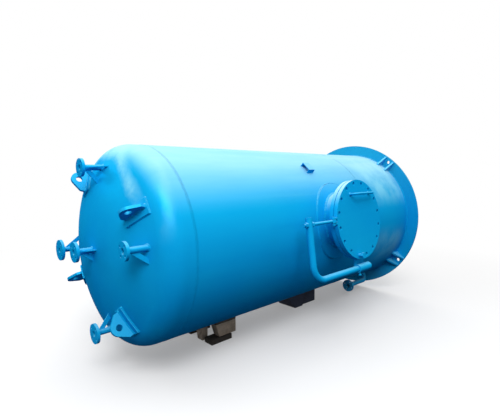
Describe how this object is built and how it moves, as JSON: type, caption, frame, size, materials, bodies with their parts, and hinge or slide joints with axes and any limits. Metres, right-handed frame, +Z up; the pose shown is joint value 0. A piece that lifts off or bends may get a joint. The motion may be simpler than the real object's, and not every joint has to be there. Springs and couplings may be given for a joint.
{
  "type": "vertical pressure vessel with skirt, lying on timbers",
  "caption": "Steel pressure vessel lying on short timbers: domed head with nozzles and lifting lugs, side manway on a davit, skirt with base ring.",
  "frame": {"origin": "on the ground under the middle of the overall box", "axes": "+X along the vessel from the domed head to the base ring, -Y to the side that the manway faces, +Z up"},
  "size_m": [2.832, 1.5541, 1.4598],
  "materials": {
    "blue_paint": "glossy sky-blue machine paint over welded steel",
    "timber": "weathered sawn timber",
    "dark_timber": "dark weathered sawn timber"
  },
  "bodies": {
    "vessel": {"top_head": "blue_paint", "shell": "blue_paint", "bottom_head": "blue_paint", "skirt": "blue_paint", "base_ring": "blue_paint", "anchor_gussets": "blue_paint", "manway_pad": "blue_paint", "manway_neck": "blue_paint", "manway_flange": "blue_paint", "davit_sleeve": "blue_paint", "davit_bracket": "blue_paint", "lock_bolt": "blue_paint", "centre_nozzle_pipe": "blue_paint", "centre_nozzle_flange": "blue_paint", "outer_nozzle_pipes": "blue_paint", "outer_nozzle_flanges": "blue_paint", "nozzle_braces": "blue_paint", "lifting_lugs": "blue_paint", "lug_pads": "blue_paint", "plate_bracket": "blue_paint", "drain_pipe": "blue_paint", "drain_flange": "blue_paint", "front_prop": "timber", "front_planks": "timber", "front_timbers": "timber", "front_wedges": "timber", "rear_timbers": "dark_timber"},
    "davit": {"manway_cover": "blue_paint", "spare_bolt": "blue_paint", "cover_handle": "blue_paint", "cover_lugs": "blue_paint", "lug_pin": "blue_paint", "eye_bolt": "blue_paint", "eye_bolt_nuts": "blue_paint", "davit_arm": "blue_paint"}
  },
  "joints": [
    {"name": "davit_swing", "type": "hinge", "parent": "vessel", "child": "davit", "pos_m": [0.291, -0.74164, 0.5194], "axis": [1, 0, 0], "range_deg": [0, 135]}
  ]
}
